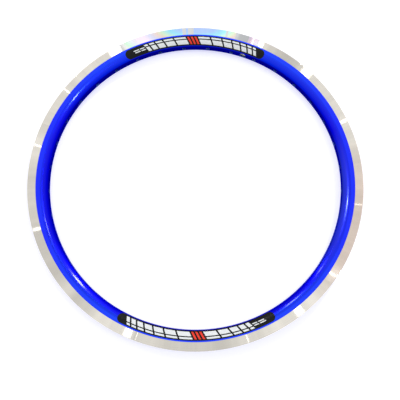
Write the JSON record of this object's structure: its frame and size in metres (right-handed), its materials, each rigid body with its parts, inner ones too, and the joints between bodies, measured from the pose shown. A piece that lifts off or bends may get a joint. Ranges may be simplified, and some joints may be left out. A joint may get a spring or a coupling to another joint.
{
  "type": "bicycle rim",
  "caption": "Hollow double-wall aluminium bicycle rim with hooked tyre flanges, flat brake tracks, radial spoke holes, a valve hole, a sleeved seam and film decals on one flank.",
  "frame": {"origin": "centre of the hoop, on the axle line, half way between the two brake tracks", "axes": "+Z along the axle line, towards the side with the decals; +Y from the axle line to the valve hole"},
  "size_m": [0.419, 0.4189, 0.022],
  "materials": {
    "anodised_aluminium": "gloss blue anodised, with both brake tracks machined bare",
    "mill_aluminium": "as extruded",
    "vinyl_film": "gloss black film with a white and red print"
  },
  "bodies": {
    "root": {"rim_hoop": "anodised_aluminium", "joint_sleeve": "mill_aluminium", "decal_valve_side": "vinyl_film", "decal_seam_side": "vinyl_film"}
  },
  "joints": []
}
